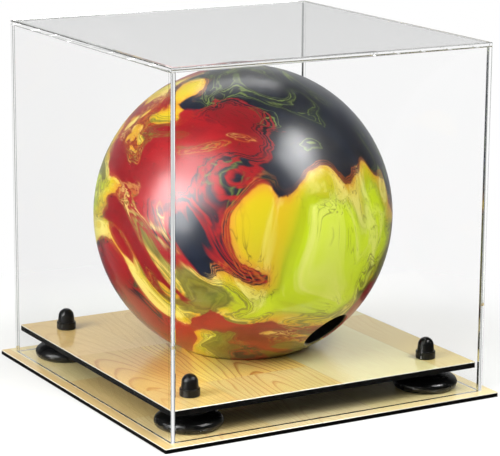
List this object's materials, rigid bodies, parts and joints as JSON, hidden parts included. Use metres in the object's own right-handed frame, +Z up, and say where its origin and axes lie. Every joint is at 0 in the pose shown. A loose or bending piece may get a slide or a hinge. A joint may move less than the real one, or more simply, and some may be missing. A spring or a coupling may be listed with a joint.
{
  "type": "bowling ball display case",
  "caption": "Clear cover that lifts straight off a wood-look base, over a raised platform with a round seat that holds a drilled marbled ball.",
  "frame": {"origin": "centre of the base board's underside, on the table", "axes": "+Z up, -Y towards the front, +X to the right seen from the front"},
  "size_m": [0.271, 0.271, 0.2573],
  "materials": {
    "wood_laminate": "satin printed maple grain",
    "black_board": "black hardboard, matte",
    "black_rubber": "satin",
    "black_cap": "satin",
    "zinc_steel": "zinc plated",
    "clear_acrylic": "clear, polished edges",
    "marbled_resin": "polished, red, yellow-green and black marbling"
  },
  "bodies": {
    "stand": {"base_board": "black_board", "base_laminate": "wood_laminate", "platform_board": "black_board", "platform_laminate": "wood_laminate", "riser_front_left": "black_rubber", "riser_front_right": "black_rubber", "riser_back_left": "black_rubber", "riser_back_right": "black_rubber", "bolt_front_left": "zinc_steel", "bolt_front_right": "zinc_steel", "bolt_back_left": "zinc_steel", "bolt_back_right": "zinc_steel", "nut_front_left": "zinc_steel", "nut_front_right": "zinc_steel", "nut_back_left": "zinc_steel", "nut_back_right": "zinc_steel", "cap_front_left": "black_cap", "cap_front_right": "black_cap", "cap_back_left": "black_cap", "cap_back_right": "black_cap"},
    "cover": {"cover_front": "clear_acrylic", "cover_back": "clear_acrylic", "cover_left": "clear_acrylic", "cover_right": "clear_acrylic", "cover_top": "clear_acrylic"},
    "ball": {"bowling_ball": "marbled_resin"}
  },
  "joints": [
    {"name": "cover_lift", "type": "slide", "parent": "stand", "child": "cover", "axis": [0, 0, 1], "range_m": [0, 0.24]},
    {"name": "ball_turn", "type": "hinge", "parent": "stand", "child": "ball", "pos_m": [0, 0, 0.12345], "axis": [0, 0, 1], "continuous": true}
  ]
}
